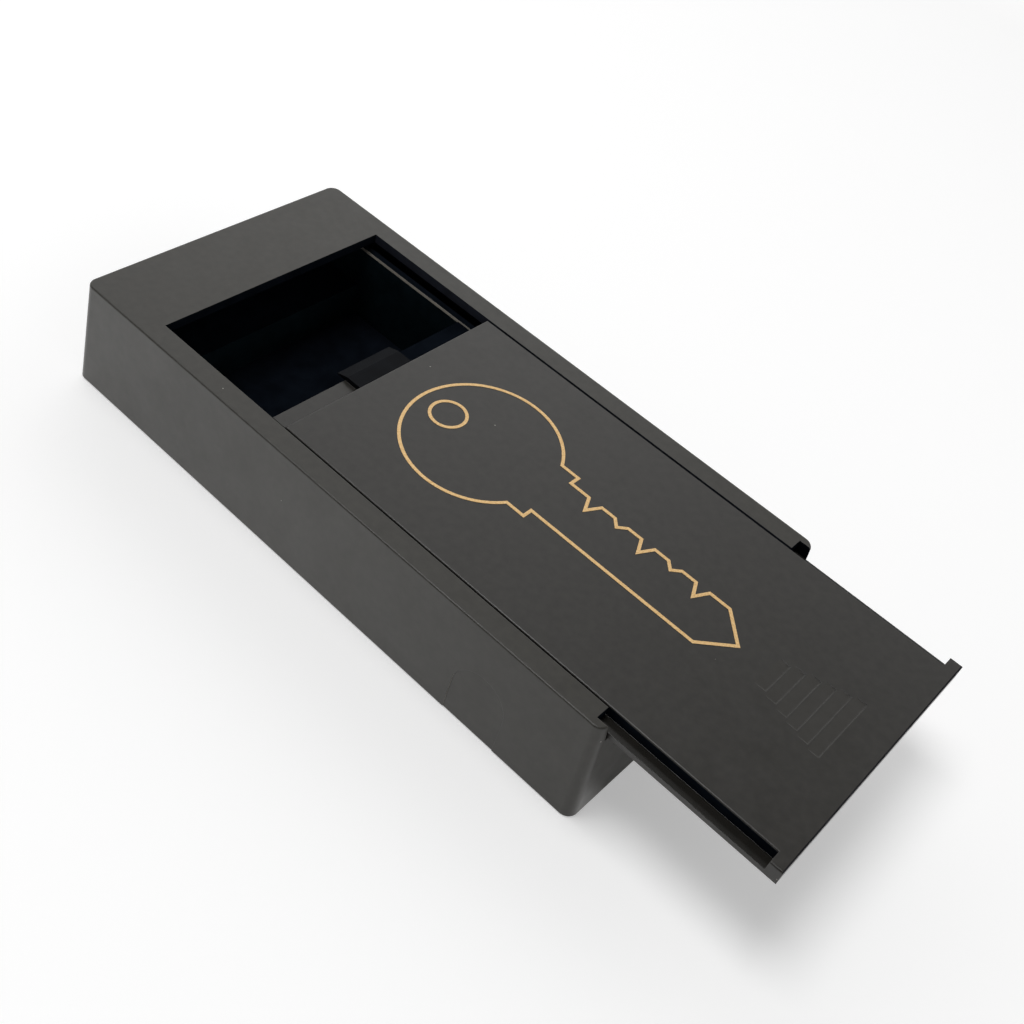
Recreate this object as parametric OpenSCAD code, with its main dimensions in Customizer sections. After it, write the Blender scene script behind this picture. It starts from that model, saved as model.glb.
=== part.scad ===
// Magnetic key holder box: a flat moulded case with a lid that slides out lengthwise,
// a tray for the keys, and two magnets in its base. Millimetres, +Z up.
// Origin: the middle of the base, on the face that the magnets hold against steel.
// +X is the end that the lid slides out of.

/* [Case] */
// Length of the case over its base
case_l = 113; // [100:0.2:150]
// Width of the case over its base
case_w = 56; // [50:0.2:80]
// Height of the case
case_h = 19.5; // [18:0.1:30]
// Thickness of the side and end walls at the top
wall_t = 1.4; // [1.2:0.1:1.7]
// How far each wall leans in between the base and the top
side_draft = 1.2; // [0.8:0.1:1.4]
// Radius of the upright corners
corner_r = 1.8; // [1.2:0.1:2.6]
// Radius of the rounded edge round the top
top_r = 0.3; // [0.2:0.05:0.6]
// Thickness of the rear panel and of the two rails
top_t = 1.65; // [1.2:0.05:2.4]

/* [Lid opening] */
// Length of the fixed panel behind the lid
rear_panel_l = 16.6; // [12:0.1:30]
// Width of each rail, from the foot of the wall outside it
rail_w = 5.05; // [4.8:0.05:7]
// Length of the pocket in front of each rail, which takes an ear of the lid
ear_pocket_l = 3.35; // [3:0.05:6]
// Height of the arch moulded in the left wall near the front
arch_h = 11.4; // [8:0.1:14]
// Width of that arch
arch_w = 10; // [6:0.5:14]
// Distance of the middle of the arch from the front of the case
arch_from_front = 20; // [10:0.5:40]
// Depth of the arch below the wall's face
arch_deep = 0.1; // [0.05:0.05:0.3]

/* [Lid] */
// How far the lid is drawn out
lid_out = 27.8; // [0:0.1:60]
// Thickness of the flanges that run under the rails
flange_t = 0.9; // [0.8:0.05:1.6]
// How far each flange stands out of the lid's edge
flange_w = 2.1; // [1:0.1:2.2]
// Thickness of the front bar, which is as wide as the flanges and so ends in two ears
ear_t = 2.1; // [1.5:0.1:3]
// Radius of the lid's upper edges
lid_edge_r = 0.3; // [0.1:0.05:0.4]
// Width of the tongue at the middle of the rear edge
tongue_w = 11.5; // [6:0.5:20]
// Length of the tongue behind the rear edge
tongue_l = 6.4; // [5:0.1:10]
// Length of the bevel at the end of the tongue
tongue_bevel_l = 2.2; // [1:0.1:3]
// Thickness of the lip that hangs under the rear edge
lip_t = 0.9; // [0.6:0.1:1.2]
// Length of the lip behind the rear edge
lip_l = 4.6; // [3:0.1:6]
// Length of the lip's root under the lid
lip_root_l = 3; // [2:0.1:5]
// Thickness of the skin over the hollows in the lid's underside
lid_skin_t = 1.7; // [1.2:0.1:2]
// Number of hollows in the lid's underside
hollow_count = 4; // [2:1:8]
// Thickness of the ribs between the hollows
rib_t = 1.2; // [0.8:0.1:2]

/* [Thumb grip] */
// Number of steps in the thumb grip
grip_count = 6; // [3:1:9]
// Distance from one step to the next
grip_pitch = 2.23; // [1.5:0.05:3]
// Depth of each step
grip_deep = 0.15; // [0.1:0.05:0.6]
// Flat land between one step and the next
grip_land = 0.3; // [0.1:0.05:0.6]
// Width of the first step
grip_w_first = 6.6; // [4:0.2:10]
// Width of the last step
grip_w_last = 13.2; // [10:0.2:20]
// Distance of the last step from the front of the lid
grip_from_front = 6.2; // [4:0.1:12]

/* [Key outline] */
// Width of the printed line
line_w = 0.55; // [0.3:0.05:1]
// Thickness of the printed line
line_t = 0.05; // [0.03:0.01:0.1]
// Length of the key from its bow to its tip
key_l = 63.6; // [50:0.2:70]
// Radius of the round bow
bow_r = 13; // [9:0.5:16]
// Width of the blade
blade_w = 9.4; // [6:0.2:12]
// Width of the collar between the bow and the blade
collar_w = 13; // [12.5:0.5:17]
// Length of that collar
collar_l = 3.4; // [1.5:0.1:5]
// Number of cuts in the blade
cut_count = 5; // [3:1:7]
// Depth of the deepest cut
cut_deep = 2.6; // [1:0.1:3]
// Flat stretch of blade before the first cut and after the last
cut_margin = 2.4; // [1:0.2:4]
// Length of the blade's pointed tip
tip_l = 4.8; // [3:0.2:7]
// Radius of the hole in the bow
key_hole_r = 3; // [2:0.1:4]
// Distance of the hole's rim from the rear of the bow
key_hole_in = 2.6; // [1.5:0.1:4]
// Distance of the bow from the lid's rear edge
key_from_rear = 7; // [4:0.5:12]

/* [Tray] */
// Thickness of the tray's floor
floor_t = 2; // [1.2:0.1:3]
// Thickness of the tray's walls
tray_wall_t = 1.5; // [1:0.1:2]
// Space between the tray's long walls and the case
tray_side_gap = 2.8; // [2.4:0.1:3.2]
// Bevel along the inner edge of the tray's walls
tray_bevel = 0.3; // [0.2:0.05:0.8]
// Number of ribs on each side that the tray's floor seats against
stop_rib_count = 4; // [2:1:6]
// Thickness of those ribs
stop_rib_t = 1.2; // [0.8:0.1:2]
// Height of those ribs
stop_rib_h = 7; // [4:0.5:9]
// Width of each snap hook that holds the tray in the case
hook_w = 6; // [4:0.5:8]
// Thickness of each hook's arm
hook_t = 0.9; // [0.8:0.05:1]
// Depth of the barb that each hook holds by
barb_deep = 0.7; // [0.4:0.05:0.8]
// Height of that barb
barb_h = 1.6; // [1.2:0.1:2]
// Height of the underside of each barb
barb_z = 7; // [6:0.1:9]
// Height of the catch in the case under each barb
catch_h = 1.5; // [1:0.1:2]

/* [Magnets] */
// Length of each magnet, across the case
magnet_l = 38; // [28:0.5:38]
// Width of each magnet, along the case
magnet_w = 10; // [8:0.5:14]
// Thickness of each magnet
magnet_t = 6; // [4:0.5:8]
// Thickness of the steel keeper plate over each magnet
keeper_t = 1; // [0.6:0.1:2]
// Thickness of the adhesive pad over each keeper plate
pad_t = 0.3; // [0.2:0.05:0.6]
// Thickness of the plastic beside and over each magnet
pocket_wall_t = 1.5; // [1:0.1:2]

/* [Fits] */
// Clearance above and below the lid's flanges
run_gap = 0.2; // [0.1:0.05:0.3]
// Clearance between the lid's edges and the rails
side_gap = 0.25; // [0.15:0.05:0.4]
// Clearance at the ends of the closed lid
end_gap = 0.3; // [0.2:0.05:0.5]
// Clearance round the tray's floor and round each magnet
seat_gap = 0.15; // [0.05:0.05:0.3]

/* [Hidden] */
over = 1;            // how far a cut runs past the face it opens
case_fn = 64;
line_fn = 32;
edge_fn = 16;        // sides of the circle that the rounded edge round the top is made from

// heights
rail_z = case_h - top_t;                      // underside of the rails and the rear panel
flange_top_z = rail_z - run_gap;
flange_z = flange_top_z - flange_t;           // underside of the lid
ledge_z = flange_z - run_gap;                 // top of the tray's walls and of the front wall
lip_z = flange_z - lip_t;
pocket_h = magnet_t + keeper_t + pad_t;       // height of a magnet's pocket
plateau_z = pocket_h + pocket_wall_t;

// lengths along the case, from its middle
wall_in = wall_t + side_draft;                // from the foot of a wall to its inner face
in_l = case_l - 2 * wall_in;
in_w = case_w - 2 * wall_in;
open_x = -case_l / 2 + rear_panel_l;          // rear edge of the lid opening
rail_end_x = case_l / 2 - ear_pocket_l;
channel_w = case_w - 2 * rail_w;

// lid, at its closed place
plate_w = channel_w - 2 * side_gap;
lid_rear_x = open_x + end_gap;
lid_front_x = rail_end_x + end_gap + ear_t;
lid_l = lid_front_x - lid_rear_x;
flange_span = plate_w + 2 * flange_w;

// tray
tray_l = in_l - 2 * seat_gap;
tray_w = in_w - 2 * seat_gap;
tub_w = in_w - 2 * tray_side_gap - 2 * tray_wall_t;
tub_l = tray_l - 2 * tray_wall_t;
lip_w = tub_w - 2 * end_gap;
pocket_l = magnet_l + 2 * seat_gap;
pocket_w = magnet_w + 2 * seat_gap;
magnet_x = tub_l / 2 - pocket_w / 2;          // from the middle of the case to that of a magnet

// stop ribs and snap hooks in the space beside the tray's long walls
rib_pitch = in_l / (stop_rib_count + 1);
hook_x = (in_l - rib_pitch) / 2;              // a hook stands midway between a rib and an end wall
barb_y = in_w / 2 - end_gap;                  // tip of a barb
hook_y = barb_y - barb_deep;                  // outer face of a hook's arm

draft_angle = atan(side_draft / (case_h - top_r));

// The case's outer form: leaning walls, round upright corners and a round edge on top
module outer_block() {
    foot_x = case_l / 2 - corner_r;
    foot_y = case_w / 2 - corner_r;
    hull()
        for (x = [-1, 1], y = [-1, 1]) {
            translate([x * foot_x, y * foot_y, 0])
                cylinder(h = corner_r, r1 = corner_r, r2 = 0, $fn = case_fn);
            translate([x * (foot_x - side_draft), y * (foot_y - side_draft), case_h - top_r])
                rotate_extrude($fn = case_fn)
                    translate([corner_r - top_r, 0]) circle(r = top_r, $fn = edge_fn);
        }
}

// A box from x0 to x1 along the case, w wide about the middle, from z0 to z1
module bar(x0, x1, w, z0, z1) {
    translate([x0, -w / 2, z0]) cube([x1 - x0, w, z1 - z0]);
}

// The arch in the left wall: straight sides and a round top, as deep all over
module arch_recess() {
    arch_r = arch_w / 2;
    translate([case_l / 2 - arch_from_front, -case_w / 2, 0]) rotate([90 - draft_angle, 0, 0])
        translate([0, 0, -arch_deep]) linear_extrude(arch_deep + over) {
            translate([0, arch_h - arch_r]) circle(r = arch_r, $fn = case_fn);
            translate([-arch_r, -over]) square([arch_w, arch_h - arch_r + over]);
        }
}

// Ribs inside the long walls, which the tray's floor seats against
module stop_ribs() {
    rib_deep = tray_side_gap - end_gap;
    for (side = [0, 1], i = [1 : stop_rib_count])
        mirror([0, side, 0])
            translate([-in_l / 2 + i * rib_pitch - stop_rib_t / 2, in_w / 2 - rib_deep, floor_t])
                cube([stop_rib_t, rib_deep + wall_t / 2, stop_rib_h]);
}

// One at each hook's place: near both ends of both long sides
module at_hooks() {
    for (x = [0, 1], y = [0, 1])
        mirror([x, 0, 0]) mirror([0, y, 0]) translate([hook_x, 0, 0]) children();
}

// A catch inside the long wall, with a ramp below that the barb rides over as the tray goes in
module catch_block() {
    catch_y = hook_y + run_gap;
    top_z = barb_z - run_gap;
    rotate([90, 0, 90]) translate([0, 0, -hook_w / 2])
        linear_extrude(hook_w)
            polygon([[in_w / 2 + wall_t / 2, top_z], [catch_y, top_z], [catch_y, top_z - catch_h / 2],
                     [in_w / 2, top_z - catch_h], [in_w / 2 + wall_t / 2, top_z - catch_h]]);
}

module case_shell() {
    color("#2b2b2e") {
        difference() {
            outer_block();
            bar(-in_l / 2, in_l / 2, in_w, -over, rail_z);
            bar(open_x, case_l, channel_w, rail_z - over, case_h + over);
            bar(rail_end_x, case_l, in_w, ledge_z, case_h + over);
            arch_recess();
        }
        stop_ribs();
        at_hooks() catch_block();
    }
}

// One magnet's place in the base: sx is -1 at the rear and 1 at the front
module at_magnet(sx) {
    translate([sx * magnet_x, 0, 0]) children();
}

// The tray's wall round the keys, with a bevel along the inner edge of its long sides
module tray_walls() {
    difference() {
        bar(-tray_l / 2, tray_l / 2, tub_w + 2 * tray_wall_t, 0, ledge_z);
        bar(-tub_l / 2, tub_l / 2, tub_w, floor_t, ledge_z + over);
        for (side = [0, 1])
            mirror([0, side, 0]) translate([-tub_l / 2, tub_w / 2, ledge_z]) rotate([90, 0, 90])
                linear_extrude(tub_l)
                    polygon([[-over, -tray_bevel - over], [-over, over], [tray_bevel + over, over]]);
    }
}

// A snap hook: an arm that bends inwards, and a barb that rests on the catch in the case
module snap_hook() {
    rotate([90, 0, 90]) translate([0, 0, -hook_w / 2])
        linear_extrude(hook_w)
            polygon([[hook_y - hook_t, floor_t / 2], [hook_y, floor_t / 2], [hook_y, barb_z],
                     [barb_y, barb_z], [barb_y, barb_z + barb_h / 4], [hook_y, barb_z + barb_h],
                     [hook_y - hook_t, barb_z + barb_h]]);
}

// The slot in the floor's edge that the mould reaches through to form a barb's underside
module barb_slot() {
    translate([-hook_w / 2, hook_y, -over]) cube([hook_w, case_w / 2 - hook_y, floor_t + 2 * over]);
}

module base_tray() {
    color("#232326")
        difference() {
            union() {
                difference() {
                    bar(-tray_l / 2, tray_l / 2, tray_w, 0, floor_t);
                    at_hooks() barb_slot();
                }
                at_hooks() snap_hook();
                tray_walls();
                for (sx = [-1, 1])
                    at_magnet(sx)
                        bar(-pocket_w / 2 - pocket_wall_t, pocket_w / 2 + pocket_wall_t,
                            tub_w + tray_wall_t, 0, plateau_z);
            }
            for (sx = [-1, 1])
                at_magnet(sx) bar(-pocket_w / 2, pocket_w / 2, pocket_l, -over, pocket_h);
        }
}

// An upright outline of the lid, w wide, with its two upper corners rounded
module crowned(w) {
    arc_x = w / 2 - lid_edge_r;
    translate([-w / 2, flange_z]) square([w, case_h - lid_edge_r - flange_z]);
    translate([-arc_x, flange_z]) square([2 * arc_x, case_h - flange_z]);
    for (side = [-1, 1])
        translate([side * arc_x, case_h - lid_edge_r]) circle(r = lid_edge_r, $fn = line_fn);
}

// The lid's solid form: a plate on wider, thin flanges, and the bar across its front
module lid_block() {
    intersection() {
        union() {
            translate([lid_rear_x, 0, 0]) rotate([90, 0, 90])
                linear_extrude(lid_l) {
                    crowned(plate_w);
                    translate([-flange_span / 2, flange_z]) square([flange_span, flange_t]);
                }
            translate([lid_front_x - ear_t, 0, 0]) rotate([90, 0, 90])
                linear_extrude(ear_t) crowned(flange_span);
        }
        translate([(lid_rear_x + lid_front_x) / 2, case_w / 2, 0]) rotate([90, 0, 0])
            linear_extrude(case_w) crowned(lid_l);
    }
}

// Steps that a thumb pushes against: each falls towards the front and ends in a riser
module thumb_grip() {
    last_x = lid_front_x - grip_from_front;
    for (i = [0 : grip_count - 1]) {
        step_x = last_x - (grip_count - 1 - i) * grip_pitch;
        step_w = grip_w_first + (grip_w_last - grip_w_first) * i / (grip_count - 1);
        translate([step_x, step_w / 2, case_h]) rotate([90, 0, 0])
            linear_extrude(step_w)
                polygon([[grip_land - grip_pitch, 0], [grip_land - grip_pitch, over],
                         [0, over], [0, -grip_deep]]);
    }
}

// Hollows in the lid's underside, with ribs between them
module lid_hollows() {
    first_x = lid_rear_x + lip_root_l + rib_t;
    last_x = lid_front_x - ear_t - rib_t;
    pitch = (last_x - first_x + rib_t) / hollow_count;
    for (i = [0 : hollow_count - 1])
        bar(first_x + i * pitch, first_x + (i + 1) * pitch - rib_t,
            lip_w - 2 * rib_t, flange_z - over, case_h - lid_skin_t);
}

// The tongue that tucks under the rear panel, with a bevelled end
module tongue() {
    translate([lid_rear_x, tongue_w / 2, 0]) rotate([90, 0, 0])
        linear_extrude(tongue_w)
            polygon([[over, flange_z], [over, flange_top_z], [tongue_bevel_l - tongue_l, flange_top_z],
                     [-tongue_l, flange_z + flange_t / 4], [-tongue_l, flange_z]]);
}

// The lip under the rear edge, which stops the lid against the tray's front wall
module lip() {
    root_z = flange_z + flange_t / 4;
    translate([lid_rear_x, lip_w / 2, 0]) rotate([90, 0, 0])
        linear_extrude(lip_w)
            polygon([[-lip_l, lip_z], [lip_root_l, lip_z], [lip_root_l, root_z],
                     [0, root_z], [0, flange_z], [-lip_l, flange_z]]);
}

module sliding_lid() {
    color("#303033")
        translate([lid_out, 0, 0]) {
            difference() {
                lid_block();
                thumb_grip();
                lid_hollows();
            }
            tongue();
            lip();
        }
}

// Direction to the left of the way from one point to the next
function left_of(from, to) = let (run = (to - from) / norm(to - from)) [-run.y, run.x];

// A clockwise outline moved outwards by a distance, with mitred corners
function moved_out(points, by) = let (n = len(points))
    [for (i = [0 : n - 1])
        let (before = left_of(points[(i + n - 1) % n], points[i]),
             after = left_of(points[i], points[(i + 1) % n]))
        points[i] + by * (before + after) / (1 + before * after)];

// Collar, blade and tip of a key seen flat, clockwise from the middle of its bow
function blade_points() =
    let (blade_x = bow_r + sqrt(bow_r * bow_r - collar_w * collar_w / 4) + collar_l,
         tip_x = key_l - tip_l,
         half_w = blade_w / 2,
         cut_pitch = (tip_x - blade_x - 2 * cut_margin) / cut_count,
         // each cut is a notch over half of its pitch, and every second one is half as deep
         cuts = [for (i = [0 : cut_count - 1], k = [0 : 2])
                    [blade_x + cut_margin + (i + [1/4, 1/2, 3/4][k]) * cut_pitch,
                     half_w - [0, cut_deep / (1 + i % 2), 0][k]]])
    concat([[bow_r, collar_w / 2], [blade_x, collar_w / 2], [blade_x, half_w]], cuts,
           [[tip_x, half_w], [key_l, 0], [tip_x, -half_w], [blade_x, -half_w],
            [blade_x, -collar_w / 2], [bow_r, -collar_w / 2]]);

// A plain key seen flat, from the rear of its bow along +X, grown by a distance
module key_shape(by) {
    translate([bow_r, 0]) circle(r = bow_r + by, $fn = case_fn);
    polygon(moved_out(blade_points(), by));
}

// The printed line: once round the key, and once round the hole in its bow
module key_outline() {
    color("#e8c88a")
        translate([lid_out + lid_rear_x + key_from_rear, 0, case_h]) {
            difference() {
                linear_extrude(line_t) key_shape(line_w / 2);
                translate([0, 0, -over]) linear_extrude(line_t + 2 * over) key_shape(-line_w / 2);
            }
            translate([key_hole_r + key_hole_in, 0, 0])
                rotate_extrude($fn = case_fn)
                    translate([key_hole_r - line_w / 2, 0]) square([line_w, line_t]);
        }
}

module magnet() {
    color("#4b4a4c") bar(-magnet_w / 2, magnet_w / 2, magnet_l, 0, magnet_t);
}

module keeper_plate() {
    color("#9a9da1") bar(-magnet_w / 2, magnet_w / 2, magnet_l, magnet_t, magnet_t + keeper_t);
}

module adhesive_pad() {
    color("#d8d4c8")
        bar(-magnet_w / 2, magnet_w / 2, magnet_l, magnet_t + keeper_t, pocket_h);
}

case_shell();
base_tray();
sliding_lid();
key_outline();
at_magnet(-1) magnet();  // rear_magnet
at_magnet(1) magnet();  // front_magnet
at_magnet(-1) keeper_plate();  // rear_keeper_plate
at_magnet(1) keeper_plate();  // front_keeper_plate
at_magnet(-1) adhesive_pad();  // rear_adhesive_pad
at_magnet(1) adhesive_pad();  // front_adhesive_pad
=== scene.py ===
import bpy
from mathutils import Matrix, Vector

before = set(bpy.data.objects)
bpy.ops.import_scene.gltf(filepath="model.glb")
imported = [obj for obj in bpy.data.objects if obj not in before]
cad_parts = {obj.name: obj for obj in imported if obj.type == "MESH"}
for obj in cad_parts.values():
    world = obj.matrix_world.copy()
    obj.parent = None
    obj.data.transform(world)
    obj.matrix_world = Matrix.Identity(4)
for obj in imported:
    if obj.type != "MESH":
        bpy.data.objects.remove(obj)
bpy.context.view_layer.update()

# --- Case shell -------------------------------------------------------------------------------
# The outer case: one ABS moulding, open below, with the rear panel and the two rails that hold
# the lid down. Its mould is finely spark-eroded, which leaves a satin black with a silky grain.

MM = 0.001
COLOUR_A, COLOUR_B, COLOUR_RESULT = 6, 7, 2  # a Mix node's sockets, where it mixes colours

NOISE_LOW, NOISE_HIGH = 0.3, 0.7  # nearly all of a noise's values lie between these
ABS_IOR = 1.53
EDGE_MM = 0.12  # the moulded radius of an edge that is sharp in the model
MOTTLE_MM = 1.4  # the skin's faint unevenness in tone
GLOSS_PATCH_MM, GLOSS_CHANGE = 5, 0.03  # handling has changed the roughness a little
# The eroded grain is about 0.05 mm wide, and is drawn coarser so that it shows.
GRAIN_MM, GRAIN_DEEP_MM, GRAIN_STRENGTH = 0.35, 0.008, 0.35
SPECK_PITCH_MM, SPECK_RADIUS, DUST = 7, 0.016, "#8d8a84"  # the radius is a part of the pitch
DULL_ROUGHNESS, DULL_PATCH_MM, DULL_CHANGE = 0.55, 3, 0.25


def linear(hex_colour):
    """An sRGB hex colour as the linear RGBA that Blender's sockets take."""
    channels = [int(hex_colour[i : i + 2], 16) / 255 for i in (1, 3, 5)]
    return [c / 12.92 if c <= 0.04045 else ((c + 0.055) / 1.055) ** 2.4 for c in channels] + [1.0]


def feed(tree, node, inputs):
    """Gives each of a node's inputs its value, or a link from the socket that is given."""
    for name, value in inputs.items():
        if isinstance(value, bpy.types.NodeSocket):
            tree.links.new(value, node.inputs[name])
        else:
            node.inputs[name].default_value = value


def add(tree, kind, inputs=None, **settings):
    """Adds a node with its settings, and feeds its inputs."""
    node = tree.nodes.new(kind)
    for name, value in settings.items():
        setattr(node, name, value)
    feed(tree, node, inputs or {})
    return node


def surface(name):
    """A new material's node tree, with its Principled shader and its Object coordinates."""
    material = bpy.data.materials.new(name)
    material.use_nodes = True
    tree = material.node_tree
    shader = tree.nodes["Principled BSDF"]
    place = add(tree, "ShaderNodeTexCoord").outputs["Object"]
    return material, tree, shader, place


def blotches(tree, place, size_mm, low, high, detail=2):
    """Soft blotches that are size_mm across and run from low to high."""
    noise = {"Vector": place, "Scale": 1 / (size_mm * MM), "Detail": detail}
    stretch = {"Value": add(tree, "ShaderNodeTexNoise", noise).outputs["Fac"],
               "From Min": NOISE_LOW, "From Max": NOISE_HIGH, "To Min": low, "To Max": high}
    return add(tree, "ShaderNodeMapRange", stretch).outputs["Result"]


def moulded_abs(name, dark, light, roughness, edge_mm=EDGE_MM):
    """Black ABS: a satin skin, with the mould's grain, a faint mottle and a few dust specks."""
    material, tree, shader, place = surface(name)
    plastic = add(tree, "ShaderNodeMix", {
        "Factor": blotches(tree, place, MOTTLE_MM, 0, 1, detail=3),
        COLOUR_A: linear(dark), COLOUR_B: linear(light)}, data_type="RGBA")
    specks = add(tree, "ShaderNodeTexVoronoi", {
        "Vector": place, "Scale": 1 / (SPECK_PITCH_MM * MM)})
    near = add(tree, "ShaderNodeMath", {
        0: specks.outputs["Distance"], 1: SPECK_RADIUS}, operation="LESS_THAN")
    dusty = add(tree, "ShaderNodeMix", {
        "Factor": near.outputs[0],
        COLOUR_A: plastic.outputs[COLOUR_RESULT], COLOUR_B: linear(DUST)}, data_type="RGBA")
    edge = add(tree, "ShaderNodeBevel", {"Radius": edge_mm * MM}, samples=6)
    grain = add(tree, "ShaderNodeTexNoise", {
        "Vector": place, "Scale": 1 / (GRAIN_MM * MM), "Detail": 3})
    skin = add(tree, "ShaderNodeBump", {
        "Height": grain.outputs["Fac"], "Distance": GRAIN_DEEP_MM * MM,
        "Strength": GRAIN_STRENGTH, "Normal": edge.outputs["Normal"]})
    low, high = roughness - GLOSS_CHANGE, roughness + GLOSS_CHANGE
    feed(tree, shader, {
        "Base Color": dusty.outputs[COLOUR_RESULT],
        "Roughness": blotches(tree, place, GLOSS_PATCH_MM, low, high),
        "Normal": skin.outputs["Normal"], "IOR": ABS_IOR})
    return material


def painted_shade_abs(name, colour, gloss):
    """Painted shade: black ABS with its colour darkened and its reflection turned down, for faces
    that are to look shaded.
    """
    material, tree, shader, place = surface(name)
    shade = blotches(tree, place, DULL_PATCH_MM, 1 - DULL_CHANGE, 1 + DULL_CHANGE)
    tint = add(tree, "ShaderNodeMix", {
        "Factor": 1.0, COLOUR_A: linear(colour), COLOUR_B: shade},
        data_type="RGBA", blend_type="MULTIPLY")
    feed(tree, shader, {
        "Base Color": tint.outputs[COLOUR_RESULT], "Roughness": DULL_ROUGHNESS,
        "Specular IOR Level": gloss, "IOR": ABS_IOR})
    return material


def dress(node, material):
    """Gives a CAD node its material."""
    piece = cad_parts[node]
    piece.data.materials.clear()
    piece.data.materials.append(material)
    return piece


def refinish(piece, material, chosen):
    """Gives a piece one more material, on the faces whose centre and normal pass the test.

    The centre is in millimetres.
    """
    piece.data.materials.append(material)
    for face in piece.data.polygons:
        if chosen(face.center / MM, face.normal):
            face.material_index = len(piece.data.materials) - 1


# Places on the case, in millimetres, and how near and how squarely a face lies to one
INNER_X, INNER_Y, CASE_TOP, RAIL_Y = 54.0, 25.5, 19.5, 22.95
ARCH_REAR_X, ARCH_MIDDLE_X, ARCH_FACE_Y = 31.0, 36.0, -27.3
CLOSE, SQUARE, TURNED = 0.1, 0.9, 0.3


def inside_case(at, normal):
    """The case's inner faces, and the ends of its side walls in front of the rails."""
    between = abs(at.y) < INNER_Y and CLOSE < at.z < CASE_TOP - CLOSE
    return between and (abs(at.x) < INNER_X or abs(normal.y) > SQUARE)


def rail_edge(at, normal):
    """The faces of the two rails that look at the lid's plate across the gap."""
    return abs(normal.y) > SQUARE and abs(abs(at.y) - RAIL_Y) < CLOSE and at.z < CASE_TOP


def arch_leg(at, normal):
    """The step along the arch's rear leg, which looks forward into the light; it carries a
    painted highlight.
    """
    rear_half = ARCH_REAR_X < at.x < ARCH_MIDDLE_X and at.y < ARCH_FACE_Y
    return rear_half and normal.x > TURNED


case_black = moulded_abs("case_abs_satin_black", "#25231d", "#2e2c26", roughness=0.41)
# Painted shade: the case's inner faces, the tray above its base and the lid's shaded faces get a
# darker blue-black that reflects nothing.
painted_shade_black = painted_shade_abs("inside_abs_painted_shade_black", "#0d1117", gloss=0.0)
# Painted shade: the rails' faces across the gap get a dim blue-black with little reflection.
rail_painted_shade = painted_shade_abs("rail_abs_painted_shade", "#232630", gloss=0.25)
# Painted highlight: a pale colour on the arch's rear step, so that it shows as a bright line.
arch_painted_highlight = moulded_abs("arch_abs_painted_highlight", "#8f8a81", "#9a958b", roughness=0.4)

case = dress("case_shell", case_black)
refinish(case, painted_shade_black, inside_case)
refinish(case, rail_painted_shade, rail_edge)
refinish(case, arch_painted_highlight, arch_leg)

# --- Base tray --------------------------------------------------------------------------------
# The inner tray, pushed up into the case from below, of the same ABS from a smoother mould. The
# lid slides on its long walls' bevelled edges, which carry a painted highlight, a pale colour, so
# that they show in the mouth; the rest of the tray above its base carries painted shade.

# Places on the tray, in millimetres, and how far a sloping face turns up
LEDGE_Z, LEDGE_BEVEL, SLOPING = 16.55, 0.3, 0.5


def above_base(at, normal):
    """All of the tray but the face that lies on the steel."""
    return at.z > CLOSE


def tray_wall(at, normal):
    """The tray's upright faces."""
    return at.z > CLOSE and abs(normal.z) < SLOPING


def ledge_bevel(at, normal):
    """The bevel along the top of the tray's long walls."""
    return at.z > LEDGE_Z - LEDGE_BEVEL and SLOPING < normal.z < SQUARE


tray_black = moulded_abs("tray_abs_black", "#161617", "#1a1a1b", roughness=0.30)
# Painted shade: the tray above its base and its upright walls get darker blacks that reflect
# nothing.
tray_wall_painted_shade = painted_shade_abs("tray_wall_abs_painted_shade_black", "#141f24", gloss=0.0)
ledge_painted_highlight = moulded_abs("tray_abs_painted_highlight", "#67635c", "#6e6a62", roughness=0.30)

tray = dress("base_tray", tray_black)
refinish(tray, painted_shade_black, above_base)
refinish(tray, tray_wall_painted_shade, tray_wall)
refinish(tray, ledge_painted_highlight, ledge_bevel)

# --- Sliding lid ------------------------------------------------------------------------------
# The lid: an ABS plate with flanges under the rails, a tongue and a lip at its rear, and six
# thumb-grip steps. It is a little smoother and darker than the case, as a second mould made it.

# Places on the lid, in millimetres
LID_REAR_X, LID_FRONT_X, PLATE_Y, TONGUE_Y = -11.8, 83.35, 22.7, 5.75
LID_TOP, LID_ROUND, FLANGE_TOP_Z, LIP_TOP_Z = 19.5, 0.3, 17.65, 16.8
GRIP_REAR_X, GRIP_FRONT_X, GRIP_Y = 64.0, 77.2, 6.7
GRIP_FLOOR_Z, GRIP_RIM_Z = 19.3, 19.495
HAIR = 0.01  # keeps the faces that lie exactly at a place on the right side of it
LEAST_OUT, LEAST_UP = 0.2, 0.05  # how far a rounded edge's faces turn out, and still up
SOFT_STEP_MM = 0.45  # the radius at which the steps' rims run out into the plate


def out_of_the_light(at, normal):
    """The plate's and ears' upright faces over the flanges, the tongue, and the lip's right:
    painted shade.
    """
    above = at.z > FLANGE_TOP_Z
    side = above and abs(normal.y) > SQUARE and abs(abs(at.y) - PLATE_Y) < CLOSE
    end = above and normal.x < -SQUARE and abs(at.y) > PLATE_Y
    return side or end or (at.x < LID_REAR_X - HAIR and at.y > -TONGUE_Y - HAIR)


def on_tongue(at, normal):
    """The tongue, above the lip that hangs under it; it carries painted shade."""
    return at.x < LID_REAR_X - HAIR and abs(at.y) < TONGUE_Y + HAIR and at.z > LIP_TOP_Z


def flange_top(at, normal):
    """The flanges' upper faces, which the rails have rubbed smooth."""
    return normal.z > SQUARE and at.z < FLANGE_TOP_Z + HAIR and abs(at.y) > PLATE_Y


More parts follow.
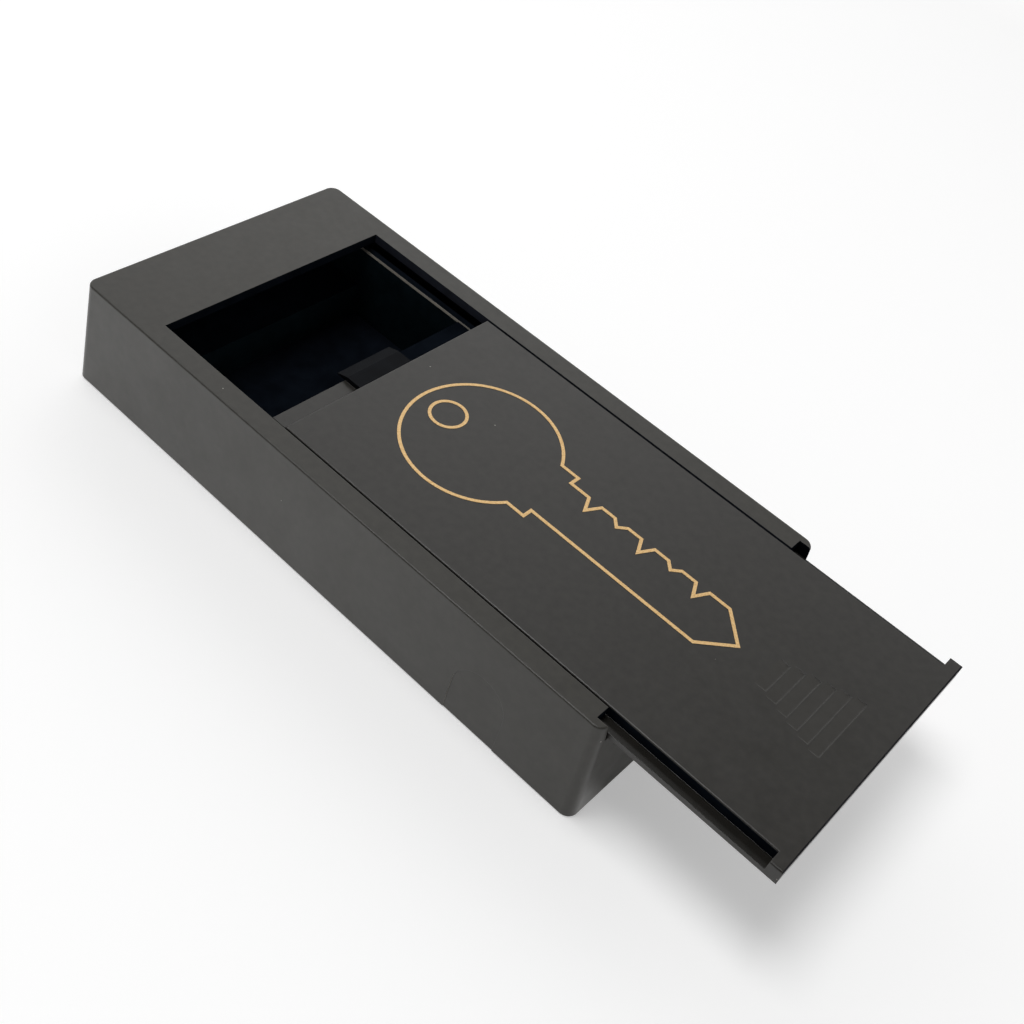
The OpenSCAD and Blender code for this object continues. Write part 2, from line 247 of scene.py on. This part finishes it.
def in_grip(at, normal):
    """The slopes and ends of the thumb-grip steps, below the lid's top face: painted light, a
    lighter black.
    """
    within = GRIP_REAR_X < at.x < GRIP_FRONT_X and abs(at.y) < GRIP_Y
    return within and GRIP_FLOOR_Z < at.z < GRIP_RIM_Z


def outer_round(at, normal):
    """The lid's right and front rounded edge, which turns away from the light: painted shade."""
    right = normal.y > LEAST_OUT and at.y > PLATE_Y - LID_ROUND
    ahead = normal.x > LEAST_OUT and at.x > LID_FRONT_X - LID_ROUND
    return at.z > LID_TOP - LID_ROUND and normal.z > LEAST_UP and (right or ahead)


lid_black = moulded_abs("lid_abs_satin_black", "#1f1d19", "#282622", roughness=0.38)
tongue_painted_shade = painted_shade_abs("tongue_abs_painted_shade", "#0d0f13", gloss=0.045)
rubbed_flange = moulded_abs("lid_abs_rubbed_flange", "#1f1e1b", "#23211e", roughness=0.2)
grip_painted_light = moulded_abs("lid_abs_grip_painted_light", "#272520", "#2c2a26", 0.4, edge_mm=SOFT_STEP_MM)
lid_edge_painted_shade = painted_shade_abs("lid_edge_abs_painted_shade", "#2c2c2e", gloss=0.0)

lid = dress("sliding_lid", lid_black)
refinish(lid, painted_shade_black, out_of_the_light)
refinish(lid, tongue_painted_shade, on_tongue)
refinish(lid, rubbed_flange, flange_top)
refinish(lid, grip_painted_light, in_grip)
refinish(lid, lid_edge_painted_shade, outer_round)

# --- Key outline ------------------------------------------------------------------------------
# The key on the lid is one line of pale gold ink, pad-printed and about 0.05 mm proud. The
# pigment is metallic flake in a clear binder, so it has a soft sheen and no mirror.

FLAKE_MM = 0.3  # real flakes are under 0.05 mm, and are drawn coarser so that they show


def gold_ink(name):
    """Pale gold ink: flakes that differ a little in tone, under a thin satin binder."""
    material, tree, shader, place = surface(name)
    ink = add(tree, "ShaderNodeMix", {
        "Factor": blotches(tree, place, FLAKE_MM, 0, 1, detail=3),
        COLOUR_A: linear("#d6ac6f"), COLOUR_B: linear("#f0cb91")}, data_type="RGBA")
    feed(tree, shader, {
        "Base Color": ink.outputs[COLOUR_RESULT], "Metallic": 0.25, "Roughness": 0.45})
    return material


dress("key_outline", gold_ink("gold_pad_print_ink"))

# --- Magnets ----------------------------------------------------------------------------------
# Two sintered ferrite bars, ground flat on the face that meets the steel: charcoal grey, with
# fine pits and chipped grains.

FERRITE_GRAIN_MM, PIT_DEEP_MM = 0.6, 0.03  # the pits are drawn about twice as wide as real ones


def ferrite(name):
    """Ground ferrite: charcoal grey, dull, with fine pits."""
    material, tree, shader, place = surface(name)
    grain = add(tree, "ShaderNodeTexNoise", {
        "Vector": place, "Scale": 1 / (FERRITE_GRAIN_MM * MM), "Detail": 4}).outputs["Fac"]
    tone = add(tree, "ShaderNodeMapRange", {
        "Value": grain, "From Min": NOISE_LOW, "From Max": NOISE_HIGH})
    body = add(tree, "ShaderNodeMix", {
        "Factor": tone.outputs["Result"],
        COLOUR_A: linear("#3a3b3e"), COLOUR_B: linear("#4a4b4e")}, data_type="RGBA")
    pits = add(tree, "ShaderNodeBump", {
        "Height": grain, "Distance": PIT_DEEP_MM * MM, "Strength": 0.5})
    feed(tree, shader, {
        "Base Color": body.outputs[COLOUR_RESULT], "Roughness": 0.55,
        "Normal": pits.outputs["Normal"]})
    return material


ferrite_ground = ferrite("ferrite_sintered_ground")
for end in ("rear", "front"):
    dress(end + "_magnet", ferrite_ground)

# --- Keeper plates ----------------------------------------------------------------------------
# A strip of zinc-plated mild steel lies over each magnet and turns its pull to the base. The
# strip is rolled, so its faint scratches run along it.

SCRATCH_MM, SCRATCH_STRETCH = 0.25, 0.04  # each is 25 times as long as wide, and drawn coarse


def zinc_plated(name):
    """Zinc-plated rolled steel: bright grey metal with scratches along Y."""
    material, tree, shader, place = surface(name)
    along = add(tree, "ShaderNodeMapping", {"Vector": place, "Scale": (1, SCRATCH_STRETCH, 1)})
    scratches = blotches(tree, along.outputs["Vector"], SCRATCH_MM, 0.28, 0.45, detail=4)
    feed(tree, shader, {
        "Base Color": linear("#b9bcbe"), "Metallic": 1.0, "Roughness": scratches})
    return material


zinc_steel = zinc_plated("zinc_plated_steel_strip")
for end in ("rear", "front"):
    dress(end + "_keeper_plate", zinc_steel)

# --- Adhesive pads ----------------------------------------------------------------------------
# Double-sided tape of white closed-cell foam, 0.3 mm thick. It is pressed between each keeper
# plate and the roof of its pocket, and holds plate and magnet up.

CELL_MM, CELL_DEEP_MM = 0.4, 0.05  # the cells are drawn about twice as wide as real ones


def foam(name):
    """Closed-cell foam: off-white, matt, with fine cells."""
    material, tree, shader, place = surface(name)
    cells = add(tree, "ShaderNodeTexVoronoi", {"Vector": place, "Scale": 1 / (CELL_MM * MM)})
    dents = add(tree, "ShaderNodeBump", {
        "Height": cells.outputs["Distance"], "Distance": CELL_DEEP_MM * MM})
    feed(tree, shader, {
        "Base Color": linear("#d8d4c8"), "Roughness": 0.9, "Normal": dents.outputs["Normal"]})
    return material


white_foam = foam("foam_tape_white")
for end in ("rear", "front"):
    dress(end + "_adhesive_pad", white_foam)

# --- Camera -----------------------------------------------------------------------------------
# A hand-held view from above the front left corner, solved from the case's and the lid's long
# edges. It stands only about 0.2 m from the box, so the far end looks clearly smaller.

CAMERA_PLACE = Vector((0.08900, -0.12428, 0.15611))
CAMERA_RIGHT = Vector((0.723931, 0.658678, 0.205115))
CAMERA_UP = Vector((-0.593076, 0.442342, 0.672747))
LENS_MM, SENSOR_MM = 45.581, 36
NEAREST = 0.01

camera_data = bpy.data.cameras.new("camera")
camera_data.lens = LENS_MM
camera_data.sensor_width = SENSOR_MM
camera_data.clip_start = NEAREST
camera = bpy.data.objects.new("camera", camera_data)
bpy.context.scene.collection.objects.link(camera)
camera_back = CAMERA_RIGHT.cross(CAMERA_UP)
turn = Matrix((CAMERA_RIGHT, CAMERA_UP, camera_back)).transposed()
camera.matrix_world = Matrix.Translation(CAMERA_PLACE) @ turn.to_4x4()
bpy.context.scene.camera = camera

# --- Floor ------------------------------------------------------------------------------------
# A wide sheet of white paper, which keeps the box's soft shadow. It is lifted towards white
# where it is seen or mirrored, as it would be by the tent's light; in the mirror this lift is
# painted light, and so it shows in the walls.

FLOOR_HALF, FLOOR_DROP = 2.0, 0.0002  # the drop keeps it clear of the box's base
SHEET = "#e6e6e6"
# Seen: a small lift near the box, and plain white far from it
SEEN_LIFT, WHITE_FROM, WHITE_TO = 0.35, 0.3, 0.9
# Mirrored in the left wall: a painted reflection, whose lift falls off towards the front
WALL_LIFT, WALL_FROM_X, WALL_TO_X = 0.56, 0.0, 0.14
# Mirrored in the front wall: a painted reflection, even from the line of the left wall on
FRONT_LIFT, FRONT_FROM_Y, FRONT_TO_Y = 0.65, -0.030, -0.026
# Painted shadow: the mirrored lift is cut down under the drawn lid
OVERHANG_PLACE, OVERHANG_LIFT = (0.070, 0, 0), 0.2
OVERHANG_FROM_X, OVERHANG_TO_X = 0.0145, 0.0165
OVERHANG_FROM_Y, OVERHANG_TO_Y = 0.019, 0.024


def white_floor(name):
    """A white sheet with a soft shadow, lifted to white for the eye and with painted light in
    gloss.
    """
    material, tree, shader, place = surface(name)
    tree.nodes.remove(shader)
    sheet = add(tree, "ShaderNodeBsdfDiffuse", {"Color": linear(SHEET)})
    path = add(tree, "ShaderNodeLightPath").outputs

    reach = add(tree, "ShaderNodeVectorMath", {0: place}, operation="LENGTH")
    whitening = add(tree, "ShaderNodeMapRange", {
        "Value": reach.outputs["Value"], "From Min": WHITE_FROM, "From Max": WHITE_TO,
        "To Min": SEEN_LIFT, "To Max": 1.0})
    seen = add(tree, "ShaderNodeMath", {
        0: path["Is Camera Ray"], 1: whitening.outputs["Result"]}, operation="MULTIPLY")

    across = add(tree, "ShaderNodeSeparateXYZ", {0: place}).outputs
    beside_wall = add(tree, "ShaderNodeMapRange", {
        "Value": across["X"], "From Min": WALL_FROM_X, "From Max": WALL_TO_X,
        "To Min": WALL_LIFT, "To Max": 0.0})
    before_front = add(tree, "ShaderNodeMapRange", {
        "Value": across["Y"], "From Min": FRONT_FROM_Y, "From Max": FRONT_TO_Y,
        "To Min": 0.0, "To Max": FRONT_LIFT})
    open_floor = add(tree, "ShaderNodeMath", {
        0: beside_wall.outputs["Result"], 1: before_front.outputs["Result"]}, operation="MAXIMUM")

    aside = add(tree, "ShaderNodeVectorMath", {0: place, 1: OVERHANG_PLACE}, operation="SUBTRACT")
    aside = add(tree, "ShaderNodeVectorMath", {0: aside.outputs[0]}, operation="ABSOLUTE")
    aside = add(tree, "ShaderNodeSeparateXYZ", {0: aside.outputs[0]}).outputs
    past_x = add(tree, "ShaderNodeMapRange", {
        "Value": aside["X"], "From Min": OVERHANG_FROM_X, "From Max": OVERHANG_TO_X})
    past_y = add(tree, "ShaderNodeMapRange", {
        "Value": aside["Y"], "From Min": OVERHANG_FROM_Y, "From Max": OVERHANG_TO_Y,
        "To Min": OVERHANG_LIFT, "To Max": 1.0})
    unshaded = add(tree, "ShaderNodeMath", {
        0: past_x.outputs["Result"], 1: past_y.outputs["Result"]}, operation="MAXIMUM")

    mirror_lift = add(tree, "ShaderNodeMath", {
        0: open_floor.outputs[0], 1: unshaded.outputs[0]}, operation="MULTIPLY")
    mirrored = add(tree, "ShaderNodeMath", {
        0: path["Is Glossy Ray"], 1: path["Is Transmission Ray"]}, operation="ADD")
    lift = add(tree, "ShaderNodeMath", {
        0: mirrored.outputs[0], 1: mirror_lift.outputs[0], 2: seen.outputs[0]},
        operation="MULTIPLY_ADD")
    glow = add(tree, "ShaderNodeEmission", {"Color": (1, 1, 1, 1), "Strength": lift.outputs[0]})
    both = add(tree, "ShaderNodeAddShader", {0: sheet.outputs[0], 1: glow.outputs[0]})
    feed(tree, tree.nodes["Material Output"], {"Surface": both.outputs[0]})
    return material


floor_mesh = bpy.data.meshes.new("floor")
corners = [(-FLOOR_HALF, -FLOOR_HALF, 0), (FLOOR_HALF, -FLOOR_HALF, 0),
           (FLOOR_HALF, FLOOR_HALF, 0), (-FLOOR_HALF, FLOOR_HALF, 0)]
floor_mesh.from_pydata(corners, [], [(0, 1, 2, 3)])
floor_mesh.materials.append(white_floor("floor_white_sheet"))
floor = bpy.data.objects.new("floor", floor_mesh)
floor.location = (0, 0, -FLOOR_DROP)
bpy.context.scene.collection.objects.link(floor)

# --- Light tent -------------------------------------------------------------------------------
# A white tent round the box. Its wall shines low down and fades to black by about 45 degrees up,
# later at the back (+Y) than at the front, where the open flap is dimmer still. The eye sees it
# plain white. Two soft lamps hang in it: a weak one behind the box, and the main one on top.

TENT_LEVEL = 2.24
TENT_RISE = (0.07, 0.79, -3.18)  # how the level changes along each axis, before it is clamped
FLAP_LEVEL, FLAP_FROM_Y, FLAP_TO_Y = 0.35, -0.5, -0.9
NUMBER_A, NUMBER_B = 2, 3  # a Mix node's sockets, where it mixes numbers

world = bpy.data.worlds.new("light_tent")
world.use_nodes = True
bpy.context.scene.world = world
tent = world.node_tree
way = add(tent, "ShaderNodeTexCoord").outputs["Generated"]
rise = add(tent, "ShaderNodeVectorMath", {0: way, 1: TENT_RISE}, operation="DOT_PRODUCT")
wall = add(tent, "ShaderNodeMath", {0: rise.outputs["Value"], 1: TENT_LEVEL}, operation="ADD")
axes = add(tent, "ShaderNodeSeparateXYZ", {0: way}).outputs
flap = add(tent, "ShaderNodeMapRange", {
    "Value": axes["Y"], "From Min": FLAP_FROM_Y, "From Max": FLAP_TO_Y,
    "To Min": 1.0, "To Max": FLAP_LEVEL})
shine = add(tent, "ShaderNodeMath", {
    0: wall.outputs[0], 1: flap.outputs["Result"]}, operation="MULTIPLY", use_clamp=True)
looked_at = add(tent, "ShaderNodeLightPath").outputs["Is Camera Ray"]
strength = add(tent, "ShaderNodeMix", {0: looked_at, NUMBER_A: shine.outputs[0], NUMBER_B: 1.0})
feed(tent, tent.nodes["Background"], {"Color": (1, 1, 1, 1), "Strength": strength.outputs[0]})

TENT_LAMPS = [  # place and width in metres, power in watts
    ((-0.5, 0.5, 0.6), 0.7, 0.75),
    ((-0.2, -0.09, 0.88), 0.45, 4.4),
]
for number, (place, width, power) in enumerate(TENT_LAMPS):
    lamp_data = bpy.data.lights.new(f"tent_lamp_{number}", "AREA")
    lamp_data.size = width
    lamp_data.energy = power
    lamp = bpy.data.objects.new(f"tent_lamp_{number}", lamp_data)
    lamp.location = place
    lamp.rotation_euler = (-Vector(place)).to_track_quat("-Z", "Y").to_euler()
    bpy.context.scene.collection.objects.link(lamp)

bpy.context.scene.view_settings.view_transform = "Standard"
